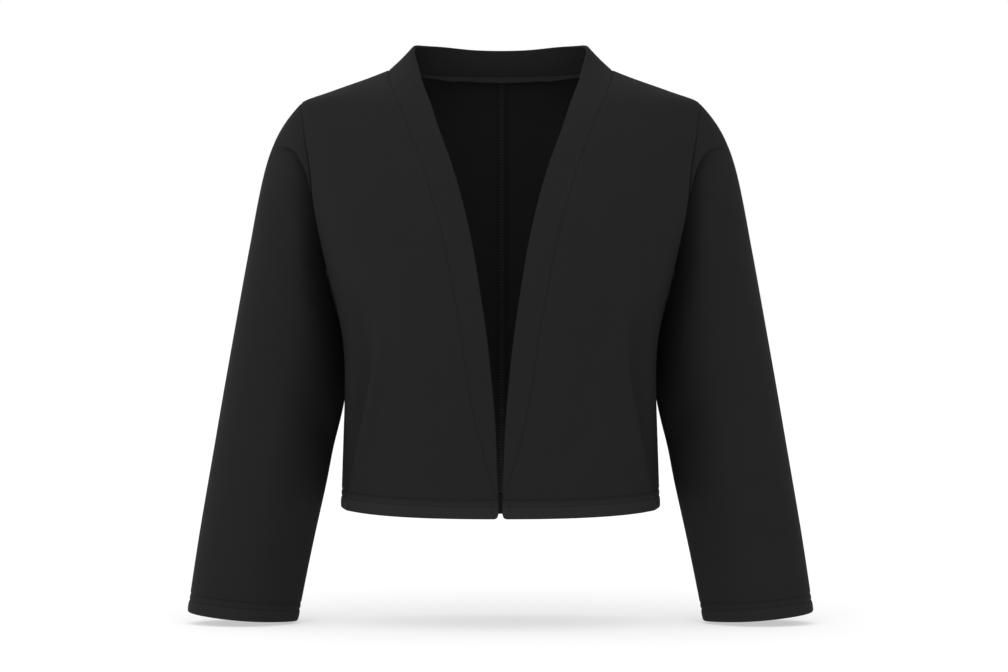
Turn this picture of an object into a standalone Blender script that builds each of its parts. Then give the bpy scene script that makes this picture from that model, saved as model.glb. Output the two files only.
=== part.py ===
"""Cropped open-front jacket with bracelet-length sleeves, filled out as if worn.

The cloth is a hollow wall. Each piece is a grid of points on one smooth form: rings round the body, sections
down the sleeve, and a strip for the front band and its collar. The grid is then given the cloth's thickness.
Metres, +Z up, the front towards -Y. The origin lies midway between the neck ends of the shoulder seams.
"""

import bpy
import numpy as np

# Cloth and seams
CLOTH = 0.0016
BAND_CLOTH = 0.0028
SEAM_GAP = 0.0003
CLOTH_COLOUR = (0.012, 0.012, 0.0132, 1.0)
CLOTH_ROUGHNESS = 0.85

# Hem heights at the centre front, the side seam and the centre back
HEM_FRONT = -0.4246
HEM_SIDE = -0.4190
HEM_BACK = -0.4314
HEM_CORNER = 0.003
BACK_NECK_DROP = 0.0020

# The armhole is an ellipse when seen from the side
ARMHOLE_TOP = -0.0320
ARMHOLE_FOOT = -0.2030
ARMHOLE_FRONT = 0.0340
ARMHOLE_BACK = 0.0380

# How many faces each stretch of a piece is divided into
SIDE_ROWS = 13
ARMHOLE_ROWS = 14
HEM_EDGE_ROWS = 2
NECK_ROWS = 7
PANEL_COLUMNS = 12
PANEL_CROWDING = 1.2
BAND_COLUMNS = 4
SLEEVE_RINGS = 24

QUARTER_TURN = np.pi / 2
HALF_TURN = np.pi


def table(names, *rows):
    """The rows of a table as one array for each named column."""
    return dict(zip(names.split(), np.array(rows, float).T))


# Rings of the body, from the neck ends of the shoulder seams down to below the hem
BODY = table(
    "height half_width front back square",
    (0.000, 0.1068, 0.026, 0.0570, 2.00),
    (-0.008, 0.1268, 0.037, 0.0630, 2.00),
    (-0.016, 0.1485, 0.047, 0.0690, 2.00),
    (-0.024, 0.1710, 0.055, 0.0745, 2.00),
    (-0.029, 0.1850, 0.059, 0.0775, 2.00),
    (-0.036, 0.1938, 0.065, 0.0812, 2.02),
    (-0.046, 0.1955, 0.072, 0.0860, 2.05),
    (-0.060, 0.1957, 0.081, 0.0910, 2.10),
    (-0.090, 0.1905, 0.096, 0.0990, 2.20),
    (-0.125, 0.1842, 0.109, 0.1040, 2.30),
    (-0.170, 0.1725, 0.119, 0.1040, 2.40),
    (-0.205, 0.1630, 0.1235, 0.1000, 2.45),
    (-0.259, 0.1510, 0.124, 0.0920, 2.50),
    (-0.300, 0.1490, 0.120, 0.0870, 2.50),
    (-0.340, 0.1500, 0.116, 0.0870, 2.50),
    (-0.385, 0.1516, 0.112, 0.0920, 2.50),
    (-0.440, 0.1537, 0.110, 0.0990, 2.50),
)

# The front opening: how far the free edge and the band's seam lie from the middle
OPENING = table(
    "height edge seam",
    (0.000, 0.0840, 0.1068),
    (-0.007, 0.0780, 0.1060),
    (-0.020, 0.0720, 0.1020),
    (-0.032, 0.0670, 0.0969),
    (-0.056, 0.0592, 0.0869),
    (-0.091, 0.0466, 0.0737),
    (-0.1255, 0.0362, 0.0626),
    (-0.170, 0.0259, 0.0513),
    (-0.215, 0.0184, 0.0424),
    (-0.259, 0.0120, 0.0345),
    (-0.303, 0.0074, 0.0286),
    (-0.3366, 0.0046, 0.0222),
    (-0.370, 0.0032, 0.0137),
    (-0.404, 0.0019, 0.0034),
)
BAND_FOOT = -0.404
BAND_LEAVES_BODY = -0.056

# Top edge of the collar, from the chest over the shoulder seam to the centre back
COLLAR_EDGE = table(
    "across depth height",
    (0.0670, -0.0570, -0.0320),
    (0.0718, -0.0450, -0.0195),
    (0.0757, -0.0330, -0.0075),
    (0.0792, -0.0200, 0.0050),
    (0.0818, -0.0080, 0.0160),
    (0.0822, 0.0040, 0.0235),
    (0.0755, 0.0225, 0.0260),
    (0.0560, 0.0400, 0.0260),
    (0.0290, 0.0500, 0.0240),
    (0.0000, 0.0530, 0.0233),
)
COLLAR_SHOULDER_ROW = 5

# Sections of the sleeve, from the armhole to the cuff: its outer and inner lines and its depth
SLEEVE = table(
    "outer_x outer_z inner_x inner_z front back sway",
    (0.1898, -0.0320, 0.1635, -0.2030, 0.034, 0.038, 0.002),
    (0.1968, -0.0395, 0.1619, -0.2120, 0.040, 0.043, 0.008),
    (0.2100, -0.0575, 0.1585, -0.2260, 0.044, 0.048, 0.017),
    (0.2215, -0.0810, 0.1545, -0.2430, 0.047, 0.050, 0.024),
    (0.2310, -0.1150, 0.1506, -0.2630, 0.049, 0.051, 0.027),
    (0.2402, -0.1610, 0.1490, -0.2890, 0.050, 0.051, 0.027),
    (0.2527, -0.2304, 0.1502, -0.3175, 0.049, 0.050, 0.024),
    (0.2650, -0.3000, 0.1582, -0.3530, 0.048, 0.048, 0.017),
    (0.2762, -0.3690, 0.1697, -0.4037, 0.046, 0.046, 0.008),
    (0.2890, -0.4500, 0.1812, -0.4615, 0.044, 0.043, -0.002),
    (0.2989, -0.5182, 0.1940, -0.5276, 0.042, 0.041, -0.012),
)
SLEEVE_SQUARE = 2.0
CAP_SHARE = 0.22

# Soft folds of the body: where each ridge or trough runs, as angles round from the centre front
BODY_FOLDS = table(
    "top foot top_turn foot_turn rise half_turn",
    (-0.235, -0.432, 0.79, 1.24, 0.0036, 0.085),
    (-0.225, -0.425, 1.02, 1.42, -0.0034, 0.110),
    (-0.210, -0.400, 2.20, 1.98, 0.0026, 0.120),
    (-0.200, -0.390, 2.48, 2.32, -0.0022, 0.130),
)
FOLD_CURVE = 1.7

# Soft folds of the sleeve: their middle along and round it, their size each way and their slant
SLEEVE_FOLDS = table(
    "along around rise half_along half_around slant",
    (0.060, 2.30, -0.0090, 0.050, 0.50, 0.00),
    (0.175, 1.02, -0.0030, 0.045, 0.55, -0.10),
    (0.300, 1.10, 0.0020, 0.070, 0.60, -0.08),
    (0.560, 2.55, -0.0024, 0.050, 0.60, 0.06),
    (0.480, 4.30, -0.0024, 0.060, 0.70, -0.06),
)
FOLDS_START = 0.03


def spline(knots, values):
    """Natural cubic spline through values at rising knots, as a function of an array of places."""
    knots = np.asarray(knots, float)
    values = np.asarray(values, float)
    step = np.diff(knots)
    slope = np.diff(values) / step
    system = np.eye(len(knots))
    right = np.zeros(len(knots))
    for i in range(1, len(knots) - 1):
        system[i, i - 1 : i + 2] = step[i - 1], 2 * (step[i - 1] + step[i]), step[i]
        right[i] = 6 * (slope[i] - slope[i - 1])
    bend = np.linalg.solve(system, right)

    def at(place):
        place = np.asarray(place, float)
        i = np.clip(np.searchsorted(knots, place) - 1, 0, len(knots) - 2)
        above, below, h = knots[i + 1] - place, place - knots[i], step[i]
        cubic = (bend[i] * above**3 + bend[i + 1] * below**3) / (6 * h)
        low = (values[i] / h - bend[i] * h / 6) * above
        high = (values[i + 1] / h - bend[i + 1] * h / 6) * below
        return cubic + low + high

    return at


def by_height(rows, column):
    """A column of a table that runs downwards, as a smooth function of the height."""
    return spline(rows["height"][::-1], rows[column][::-1])


half_width = by_height(BODY, "half_width")
front_depth = by_height(BODY, "front")
back_depth = by_height(BODY, "back")
squareness = by_height(BODY, "square")
edge_across = by_height(OPENING, "edge")
seam_across = by_height(OPENING, "seam")


def body_point(turn, height):
    """Points of the body: a superellipse ring at each height, from the centre front round to the back."""
    power = 2 / squareness(height)
    depth = np.where(turn < QUARTER_TURN, front_depth(height), back_depth(height))
    x = half_width(height) * np.abs(np.sin(turn)) ** power
    y = -depth * np.sign(np.cos(turn)) * np.abs(np.cos(turn)) ** power
    return np.stack([x, y, height + 0 * turn], axis=-1)


def turn_at_front(across, height):
    """The angle round the body where its front lies that far from the middle."""
    share = np.clip(across / half_width(height), 0, 1)
    return np.arcsin(share ** (squareness(height) / 2))


def turn_at_side(depth, height):
    """The angle round the body where its side lies that far behind the shoulder line, or in front of it."""
    reach = np.where(depth < 0, front_depth(height), back_depth(height))
    share = np.clip(np.abs(depth) / reach, 0, 1) ** (squareness(height) / 2)
    return QUARTER_TURN + np.sign(depth) * np.arcsin(share)


def hem_height(turn):
    """The hem dips from the side seam to the centre front and to the centre back."""
    dip = np.where(turn < QUARTER_TURN, HEM_FRONT - HEM_SIDE, HEM_BACK - HEM_SIDE)
    return HEM_SIDE + dip * np.abs(np.cos(turn)) ** 1.5


def body_folds(turn, height):
    """How far the soft folds lift the cloth: a smooth ridge or trough across, fading at both ends."""
    lift = np.zeros(np.shape(turn))
    for top, foot, top_turn, foot_turn, rise, half_turn in zip(*BODY_FOLDS.values()):
        share = np.clip((height - top) / (foot - top), 0, 1)
        middle = top_turn + (foot_turn - top_turn) * share**FOLD_CURVE
        lift += rise * np.sin(np.pi * share) * np.exp(-(((turn - middle) / half_turn) ** 2))
    return lift


def sleeve_folds(along, around):
    """How far the soft folds lift the sleeve: slanting ridges and troughs that fade on all sides and at the seam."""
    lift = np.zeros(np.shape(along))
    for middle, turn, rise, half_along, half_around, slant in zip(*SLEEVE_FOLDS.values()):
        off = (around - turn + np.pi) % (2 * np.pi) - np.pi
        across = (along - middle - slant * off) / half_along
        lift += rise * np.exp(-(across**2) - (off / half_around) ** 2)
    return lift * np.clip(along / FOLDS_START, 0, 1)


def length_along(points):
    """How far along a line of points each of them lies."""
    return np.concatenate([[0], np.cumsum(np.linalg.norm(np.diff(points, axis=0), axis=1))])


def evenly(points, carried, count):
    """What a dense line of points carries, at that many even steps of the line's length."""
    length = length_along(points)
    places = np.linspace(0, length[-1], count + 1)
    return np.stack([np.interp(places, length, column) for column in carried.T], axis=1)


def armhole(around):
    """(turn, height) pairs round the armhole from its top, the front first."""
    middle, half = (ARMHOLE_TOP + ARMHOLE_FOOT) / 2, (ARMHOLE_TOP - ARMHOLE_FOOT) / 2
    height = middle + half * np.cos(around)
    reach = np.where(np.sin(around) >= 0, ARMHOLE_FRONT, ARMHOLE_BACK)
    return np.stack([turn_at_side(-reach * np.sin(around), height), height], axis=1)


def side_line(front):
    """(turn, height) pairs up the side seam, then round one half of the armhole to the shoulder."""
    heights = np.linspace(HEM_SIDE, ARMHOLE_FOOT, SIDE_ROWS + 1)
    seam = np.stack([np.full(SIDE_ROWS + 1, QUARTER_TURN), heights], axis=1)
    around = np.linspace(np.pi, 0 if front else 2 * np.pi, ARMHOLE_ROWS + 1)
    return np.concatenate([seam, armhole(around)[1:]])


def front_line():
    """(turn, height) pairs up the front edge of the hem, then along the band's seam to the shoulder."""
    hem = np.linspace(HEM_FRONT, BAND_FOOT, HEM_EDGE_ROWS + 1)[:-1]
    free_edge = np.stack([turn_at_front(edge_across(BAND_FOOT), hem), hem], axis=1)
    dense = BAND_FOOT * np.linspace(1, 0, 600) ** 2
    turns = turn_at_front(seam_across(dense), dense)
    rows = SIDE_ROWS + ARMHOLE_ROWS - HEM_EDGE_ROWS
    seam = evenly(body_point(turns, dense), np.stack([turns, dense], axis=1), rows)
    return np.concatenate([free_edge, seam])


def neck_line():
    """(turn, height) pairs round the back neck, from the centre back to the shoulder seam."""
    turns = np.linspace(HALF_TURN, QUARTER_TURN, NECK_ROWS + 1)
    return np.stack([turns, -BACK_NECK_DROP * np.cos(turns) ** 2], axis=1)


def back_line():
    """(turn, height) pairs up the centre back seam, then round the neck to the shoulder seam."""
    heights = np.linspace(HEM_BACK, -BACK_NECK_DROP, SIDE_ROWS + ARMHOLE_ROWS - NECK_ROWS + 1)
    seam = np.stack([np.full(len(heights), HALF_TURN), heights], axis=1)
    return np.concatenate([seam, neck_line()[1:]])


def panel(first, last):
    """A grid of points from one upright line of a panel to the other, with the hem let down and the folds."""
    across = np.linspace(0, 1, PANEL_COLUMNS + 1)[None, :, None] ** PANEL_CROWDING
    grid = first[:, None] * (1 - across) + last[:, None] * across
    turn, height = grid[..., 0], grid[..., 1].copy()
    straight_hem = height[0].copy()
    fade = np.clip(1 - np.arange(len(height)) / SIDE_ROWS, 0, 1)[:, None]
    height += fade * (hem_height(turn[0]) - straight_hem)
    points = body_point(turn, height)
    return points + body_folds(turn, height)[..., None] * normals(points)


def normals(points, closed=False):
    """Unit normals of a grid of points, from the lines that cross at each point."""
    along = np.gradient(points, axis=0)
    across = np.gradient(points, axis=1)
    if closed:
        across = (np.roll(points, -1, axis=1) - np.roll(points, 1, axis=1)) / 2
    return unit(np.cross(across, along))


def unit(vectors):
    return vectors / np.linalg.norm(vectors, axis=-1, keepdims=True)


def inset(points, axis, edge):
    """Moves one edge of a grid in by half a seam gap, towards the next row or column."""
    lines = np.moveaxis(points, axis, 0)
    inner = {0: 1, -1: -2}[edge]
    lines[edge] += SEAM_GAP / 2 * unit(lines[inner] - lines[edge])


def collar_edge_line(front_rows):
    """Points along the band's free edge: up the front on the body, then over the shoulder to the back."""
    heights = OPENING["height"][OPENING["height"] <= BAND_LEAVES_BODY][::-1]
    on_body = body_point(turn_at_front(edge_across(heights), heights), heights)
    collar = np.stack([COLLAR_EDGE[c] for c in ("across", "depth", "height")], axis=1)
    knots = np.concatenate([on_body, collar])
    length = length_along(knots)
    curve = [spline(length, knots[:, i]) for i in range(3)]
    shoulder = length[len(on_body) + COLLAR_SHOULDER_ROW]

    def stretch(start, end, rows):
        line = np.stack([c(np.linspace(start, end, 400)) for c in curve], axis=1)
        return evenly(line, line, rows)

    return np.concatenate([stretch(0, shoulder, front_rows), stretch(shoulder, length[-1], NECK_ROWS)[1:]])


def band(front_grid, back_grid):
    """The strip from the band's free edge to its seam, from the hem to the centre back."""
    seam_front = front_grid[HEM_EDGE_ROWS:, 0]
    seam_back = back_grid[-NECK_ROWS - 1 :, -1][::-1]
    seam = np.concatenate([seam_front, seam_back[1:]])
    edge = collar_edge_line(len(seam_front) - 1)
    across = np.linspace(0, 1, BAND_COLUMNS + 1)[None, :, None]
    return edge[:, None] * (1 - across) + seam[:, None] * across


def sleeve_section(along, around):
    """Rings of the sleeve, each from its outer line over the front to its inner line and round the back."""
    length = length_along(np.stack([SLEEVE["outer_x"], SLEEVE["outer_z"]], axis=1))
    at = {name: spline(length / length[-1], column)(along) for name, column in SLEEVE.items()}
    power = 2 / SLEEVE_SQUARE
    swing = np.sign(np.cos(around)) * np.abs(np.cos(around)) ** power
    depth = np.where(np.sin(around) >= 0, -at["front"], at["back"]) * np.abs(np.sin(around)) ** power
    x = (at["outer_x"] + at["inner_x"]) / 2 + swing * (at["outer_x"] - at["inner_x"]) / 2
    z = (at["outer_z"] + at["inner_z"]) / 2 + swing * (at["outer_z"] - at["inner_z"]) / 2
    return np.stack([x, depth + at["sway"], z], axis=-1)


def sleeve():
    """The sleeve's grid: the armhole's own line, easing into full sections below the cap."""
    around = np.linspace(0, 2 * np.pi, 2 * ARMHOLE_ROWS + 1)[:-1]
    along = np.linspace(0, 1, SLEEVE_RINGS + 1) ** 1.25
    opening = armhole(around)
    turned, lengthwise = np.meshgrid(around, along)
    sections = sleeve_section(lengthwise, turned)
    ease = np.clip(1 - lengthwise / CAP_SHARE, 0, 1)
    ease = (ease**2 * (3 - 2 * ease))[..., None]
    points = sections + ease * (body_point(opening[:, 0], opening[:, 1]) - sections[0])
    return points + sleeve_folds(lengthwise, turned)[..., None] * normals(points, closed=True)


def level(vectors, axis):
    """Turns directions square to one axis, for a seam that lies across it."""
    vectors[..., axis] = 0
    vectors[...] = unit(vectors)


def share_seams(front, back, strip, tube):
    """Gives the pieces that meet at a seam one direction for their thickness, so their walls do not cross."""
    level(front[: SIDE_ROWS + 1, -1], 1)
    level(back[: SIDE_ROWS + 1, 0], 1)
    level(front[-1], 1)
    level(back[-1], 1)
    level(back[: -NECK_ROWS, -1], 0)
    level(strip[-1], 0)
    shoulder = len(front) - 1 - HEM_EDGE_ROWS
    neck = unit(front[-1, 0] + back[-1, -1] + strip[shoulder, -1])
    down_front = unit(front[HEM_EDGE_ROWS:, 0] + strip[: shoulder + 1, -1])
    strip[: shoulder + 1, -1] = down_front
    front[HEM_EDGE_ROWS:, 0] = down_front
    round_neck = unit(back[-NECK_ROWS - 1 :, -1][::-1] + strip[shoulder:, -1])
    strip[shoulder:, -1] = round_neck
    back[-NECK_ROWS - 1 :, -1] = round_neck[::-1]
    front[-1, 0] = back[-1, -1] = strip[shoulder, -1] = neck
    front[-1, -1] = back[-1, 0] = unit(front[-1, -1] + back[-1, 0])
    body = armhole_order(front, back)
    alike = np.sum(body * tube[0], axis=1, keepdims=True)
    lean = np.clip((alike - 0.2) / 0.6, 0, 1)
    tube[0], body = unit(tube[0] + lean * body), unit(body + lean * tube[0])
    front[SIDE_ROWS:, -1] = body[: ARMHOLE_ROWS + 1][::-1]
    back[SIDE_ROWS:, 0] = np.concatenate([body[ARMHOLE_ROWS:], body[:1]])


def armhole_order(front, back):
    """The armhole edges of the front and back panels as one round, from the shoulder and the front first."""
    return np.concatenate([front[SIDE_ROWS:, -1][::-1], back[SIDE_ROWS + 1 : -1, 0]])


def cloth_material(name):
    """Plain black knit."""
    material = bpy.data.materials.new(name)
    material.use_nodes = True
    shader = material.node_tree.nodes["Principled BSDF"]
    shader.inputs["Base Color"].default_value = CLOTH_COLOUR
    shader.inputs["Roughness"].default_value = CLOTH_ROUGHNESS
    return material


def front_and_back(tube):
    """The front and the back half of a sleeve's grid, each from its outer or inner line round to the other."""
    turned = np.concatenate([tube, tube[:, :1]], axis=1)
    return turned[:, : ARMHOLE_ROWS + 1].copy(), turned[:, ARMHOLE_ROWS:].copy()


def both_halves(half):
    """A grid that runs from the left end to the middle, carried on as its mirror image to the right end."""
    return np.concatenate([half, half[-2::-1] * (-1, 1, 1)])


def wall(name, outer, directions, thickness, mirror=1):
    """A piece of cloth as one closed solid: the grid, the same grid moved in by the thickness, and the rims."""
    rows, columns = outer.shape[:2]
    points = np.concatenate([outer.reshape(-1, 3), (outer - thickness * directions).reshape(-1, 3)])
    index = np.arange(rows * columns).reshape(rows, columns)
    sheet = np.stack([index[:-1, :-1], index[:-1, 1:], index[1:, 1:], index[1:, :-1]], axis=-1).reshape(-1, 4)
    rims = [index[0], index[-1][::-1], index[:, 0][::-1], index[:, -1]]
    inside = rows * columns
    edges = [np.stack([r[:-1], r[:-1] + inside, r[1:] + inside, r[1:]], axis=-1) for r in rims]
    faces = np.concatenate([sheet, sheet[:, ::-1] + inside, *edges])
    mesh = bpy.data.meshes.new(name)
    mesh.from_pydata((points * (mirror, 1, 1)).tolist(), [], faces[:, ::mirror].tolist())
    mesh.materials.append(cloth_material(name))
    mesh.shade_smooth()
    jacket.objects.link(bpy.data.objects.new(name, mesh))


for startup_object in list(bpy.data.objects):
    bpy.data.objects.remove(startup_object)
jacket = bpy.data.collections.new("jacket")
bpy.context.scene.collection.children.link(jacket)

front_grid = panel(front_line(), side_line(front=True))
front_grid[0, 0, 2] += HEM_CORNER
back_grid = panel(side_line(front=False), back_line())
band_grid = band(front_grid, back_grid)
sleeve_grid = sleeve()

front_out = normals(front_grid)
back_out = normals(back_grid)
band_out = normals(band_grid)
sleeve_out = normals(sleeve_grid, closed=True)
share_seams(front_out, back_out, band_out, sleeve_out)

sleeve_grid[0] += SEAM_GAP * armhole_order(front_out, back_out)
sleeve_front, sleeve_back = front_and_back(sleeve_grid)
sleeve_front_out, sleeve_back_out = front_and_back(sleeve_out)
for grid, axis, edge in (
    (front_grid, 0, -1),
    (front_grid, 1, 0),
    (front_grid, 1, -1),
    (back_grid, 0, -1),
    (back_grid, 1, 0),
    (back_grid, 1, -1),
    (band_grid, 0, 0),
    (band_grid, 1, -1),
    (sleeve_front, 0, 0),
    (sleeve_front, 1, 0),
    (sleeve_front, 1, -1),
    (sleeve_back, 0, 0),
    (sleeve_back, 1, 0),
    (sleeve_back, 1, -1),
):
    inset(grid, axis, edge)

for side, mirror in (("left", 1), ("right", -1)):
    wall(f"front_{side}", front_grid, front_out, CLOTH, mirror)
    wall(f"back_{side}", back_grid, back_out, CLOTH, mirror)
    wall(f"sleeve_front_{side}", sleeve_front, sleeve_front_out, CLOTH, mirror)
    wall(f"sleeve_back_{side}", sleeve_back, sleeve_back_out, CLOTH, mirror)
wall("band", both_halves(band_grid), both_halves(band_out), BAND_CLOTH)
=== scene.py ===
"""Black double-knit cropped jacket over its frame: cloth panels, a folded band, sleeves and their sewing.

The tables of the form are the frame's own, in metres, moved by up to about 2 mm to the photograph's outline.
Soft folds, low relief and stitches are added, so each cloth piece lies close to its solid.
"""

import bpy
import numpy as np
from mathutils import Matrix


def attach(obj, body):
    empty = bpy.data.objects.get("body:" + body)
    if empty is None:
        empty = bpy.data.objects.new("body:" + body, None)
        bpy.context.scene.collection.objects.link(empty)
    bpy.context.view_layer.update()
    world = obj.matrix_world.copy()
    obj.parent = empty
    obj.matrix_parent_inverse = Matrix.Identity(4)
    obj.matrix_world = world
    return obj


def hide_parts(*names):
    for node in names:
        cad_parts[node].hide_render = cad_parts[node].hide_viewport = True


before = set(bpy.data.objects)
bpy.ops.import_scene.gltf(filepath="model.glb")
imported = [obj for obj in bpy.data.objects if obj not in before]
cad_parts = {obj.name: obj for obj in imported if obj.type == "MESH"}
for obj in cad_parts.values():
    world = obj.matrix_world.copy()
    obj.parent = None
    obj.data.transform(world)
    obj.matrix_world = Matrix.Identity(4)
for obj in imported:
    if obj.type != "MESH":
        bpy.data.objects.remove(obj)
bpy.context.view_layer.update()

# Photograph's view: metres to a pixel at the shoulder line, camera distance and the garment's middle column
PHOTO_WIDTH = 1008
MIDDLE_COLUMN = 500.5
PIXEL = 0.00096
CAMERA_DISTANCE = 3.0
CAMERA_HEIGHT = -0.2554
SENSOR = 36.0

# Studio: the floor, and the light that comes from all round as a level, a slope and two lobes
FLOOR = -0.5300
FLOOR_HALF = 40
FLOOR_COLOUR = (0.5, 0.5, 0.5, 1)
FLOOR_ROUGHNESS = 0.9
FLOOR_GLOW = 0.52
WHITE = (1, 1, 1, 1)
LIGHT_LEVEL = 0.33
LIGHT_SLOPE = (-0.30, -0.48, 0.96)
SIDE_LIGHT = 1.0
SIDE_POWER = 6.0
FRONT_LIGHT = 0.43
FRONT_POWER = 1.0

# Cloth: thicknesses, the band's swell, the front corners, and how far seams overlap and dip
CLOTH = 0.0013
BAND_THICK = 0.0026
BAND_THICK_SHARE = 0.7
BAND_CROWN = 0.0004
CROWN_FULL_WIDTH = 0.02
BAND_HOLLOW = 0.0009
BAND_PLUMP = 0.45
BAND_TURN = 0.026
HEM_CORNER = 0.0042
CORNER_REACH = 0.014
SEAM_OVERLAP = 0.0002
SEAM_DIP = 0.0004
SEAM_DIP_WIDTH = 0.0014
UNDERARM_DIP = 0.7
BAND_DIP = 0.0008
BAND_DIP_WIDTH = 0.0012
BAND_DIP_STARTS = 0.008
BAND_TUCK = 0.0012
BAND_FOOT_EASE = 0.002
HEM_PUFF = 0.0005
RAW_EDGE_SLOPE = 0.0006
WALL_ROUNDED = 0.93
BAND_ROUNDED = 0.9

# Sewing: heights of the twin rows above the folded edge, the turned depth, the stitch (long, wide, tall)
# with its taper and bow, its groove, and the puckers between the rows
HEM_ROWS_UP = (0.0114, 0.0176)
HEM_DEPTH = 0.0205
CUFF_DIP = 0.0012
CORNER_ROW_IN = 0.0075
CORNER_ROW_UP = (0.0035, 0.0165)
STITCH_PITCH = 0.0027
STITCH_SIZE = (0.0021, 0.00050, 0.00034)
STITCH_TAPER = 0.92
STITCH_BOW = 0.6
STITCH_AHEAD = 0.0005
GROOVE_DEPTH = 0.00065
GROOVE_WIDTH = 0.0010
PUCKER = 0.00012
PUCKER_PITCH = 0.0085
PUCKER_WIDTH = 0.006

# Neck seam's allowance inside the back, turned down: its top sinks into the band, its foot stands off
NECK_ALLOWANCE = 0.0064
NECK_ALLOWANCE_TAPER = 0.0059
NECK_ALLOWANCE_OVER = 0.0015
NECK_ALLOWANCE_LIFT = 0.0016
NECK_ALLOWANCE_SUNK = 0.0004
NECK_COMES_OUT = 0.35
NECK_FOOT_OFF = 0.0022
NECK_FOOT_POWER = 1.5
NECK_FOOT_WAVE = (0.0004, 17)
NECK_EDGE_WAVES = ((0.0004, 11, 1), (0.0003, 23, 0))
NECK_STARTS = 0.10
NECK_GRID = (90, 16)
NECK_STITCH_ROW = 12
NECK_GROOVE = 0.0003
# Partly painted shade: the neck stitches are oversized dark threads, partly the real stitches and partly the
# shade of the ditch where the allowance meets the band
NECK_STITCH_PITCH = 0.0033
NECK_STITCH_SIZE = (0.0025, 0.0013, 0.0013)
NECK_ALLOWANCE_THICK = 0.0016

# Centre-back allowance inside: two layers (from, to, lift) pressed to one side, and their overlock thread
BACK_ALLOWANCE_LAYERS = ((-0.0030, 0.0082, 0.0000), (-0.0032, 0.0054, 0.0010))
BACK_ALLOWANCE_THICK = 0.0009
BACK_ALLOWANCE_ENDS = (0.001, 0.003)
BACK_ALLOWANCE_GRID = (150, 10)
BACK_ALLOWANCE_WAVE = (0.00025, 410, 137)
OVERLOCK_PITCH = 0.0029
OVERLOCK_SIZE = (0.0062, 0.0011, 0.00034)

# Knit: sizes of a stitch of the double knit, its unevenness, and its colours under white light
WALE = 0.00085
COURSE = 0.0007
COURSE_TILT = 1.2
FIBRE_SCALE = 1400.0
FIBRE_DETAIL = 3.0
FIBRE_SHARE = 2.4
PATCH_SCALE = 26.0
PATCH_DETAIL = 2.0
PATCH_SHARE = 1.6
SHADE_RANGE = (-0.6, 4.6)
KNIT_ROUGHNESS = (0.62, 0.8)
KNIT_BUMP = (0.35, 0.00012)
KNIT_COLOUR = (0.0105, 0.0105, 0.0114, 1)
KNIT_LIGHTER = (0.0150, 0.0150, 0.0160, 1)
# Painted light: the colour that lightens the hem strips below the twin rows, half as much on the cuffs
HEM_PAINTED_LIGHT_COLOUR = (0.0175, 0.0175, 0.0185, 1)
CUFF_PAINTED_LIGHT_SHARE = 0.5
# Painted light: the inside faces of the panels and sleeves are evenly painted lighter
INSIDE_PAINTED_LIGHT_SHARE = 0.35
KNIT_SHINE = 0.05
KNIT_SHEEN = 0.005
SHEEN_ROUGHNESS = 0.45

# Thread
THREAD_COLOURS = ((0.0030, 0.0030, 0.0033, 1), (0.0060, 0.0060, 0.0064, 1))
THREAD_SHINE = 0.02
THREAD_ROUGHNESS = 0.6
THREAD_BUMP = (0.4, 0.0001)
STRAND_SCALE = 900.0
STRAND_DISTORTION = 2.0
OVERLOCK_COLOURS = ((0.0180, 0.0180, 0.0185, 1), (0.0480, 0.0480, 0.0490, 1))

# Form: the hem, the armhole's ellipse and the band's ends, within a millimetre of the frame's, then the
# sleeve's pinch and cap and the bend of the body's folds
HEM_FRONT = -0.4251
HEM_SIDE = -0.4190
HEM_BACK = -0.4314
HEM_DIP_POWER = 1.5
HEM_FOLLOWED = 1.6
BACK_NECK_DROP = 0.0020
ARMHOLE_TOP = -0.0320
ARMHOLE_FOOT = -0.2030
ARMHOLE_FRONT = 0.0340
ARMHOLE_BACK = 0.0380
BAND_FOOT = -0.404
BAND_LEAVES_BODY = -0.056
COLLAR_SHOULDER_ROW = 5
SLEEVE_PINCH = 0.5
CAP_SHARE = 0.22
FOLD_CURVE = 1.7

# The valley where the sleeve falls in beside the body: from the underarm up along the armhole's seam,
# which it then leaves as a crease over the sleeve's head
VALLEY_WAY = (-0.30, 0.93, 0.22)
VALLEY_DEEP = 0.038
VALLEY_REACH = 0.0130
VALLEY_WALL = 0.0016
VALLEY_TOP = -0.040
VALLEY_GROWS = 0.150
VALLEY_FOOT = -0.335
VALLEY_ENDS = 0.060
UNDERARM_TURN = 0.6
CREASE_REACH = 0.022
CREASE_RADIUS = 0.065

# How finely each stretch is divided, and where the divisions crowd (place, half width, strength)
SIDE_ROWS = 44
ARMHOLE_ROWS = 56
PANEL_COLUMNS = 64
NECK_ROWS = 32
SLEEVE_RINGS = 104
SLEEVE_COLUMNS = 220
FRONT_CROWDING = (1.15, 0.75, 2.2)
SEAM_CROWDING = (np.pi, 0.50, 0.8)
BAND_COLUMNS = 22
FOLD_COLUMNS = 10
STITCH_STATIONS = 5
STITCH_SIDES = 6
LINE_SAMPLES = 900
COLLAR_SAMPLES = 600
CROWD_SAMPLES = 2000
ARMHOLE_SAMPLES = 80
SIDE_SAMPLES = 60
SLOW_END = 0.85
SLOW_ENDS = 0.9

# Heights above a folded edge at which its rows lie
HEM_ZONE = 0.028
FOLD_ZONE = 0.0016
FOLD_ROWS = 6
FOLD_CROWDING = 1.6
PLAIN_FROM = 0.003
PLAIN_STEP = 0.0026
GROOVE_STEPS = (-1.6, -0.8, 0, 0.8, 1.6)
RAW_EDGE_STEPS = (-0.0003, 0, 0.0003)

QUARTER_TURN = np.pi / 2


def table(names, *rows):
    """The rows of a table as one array for each named column."""
    return dict(zip(names.split(), np.array(rows, float).T))


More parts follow.
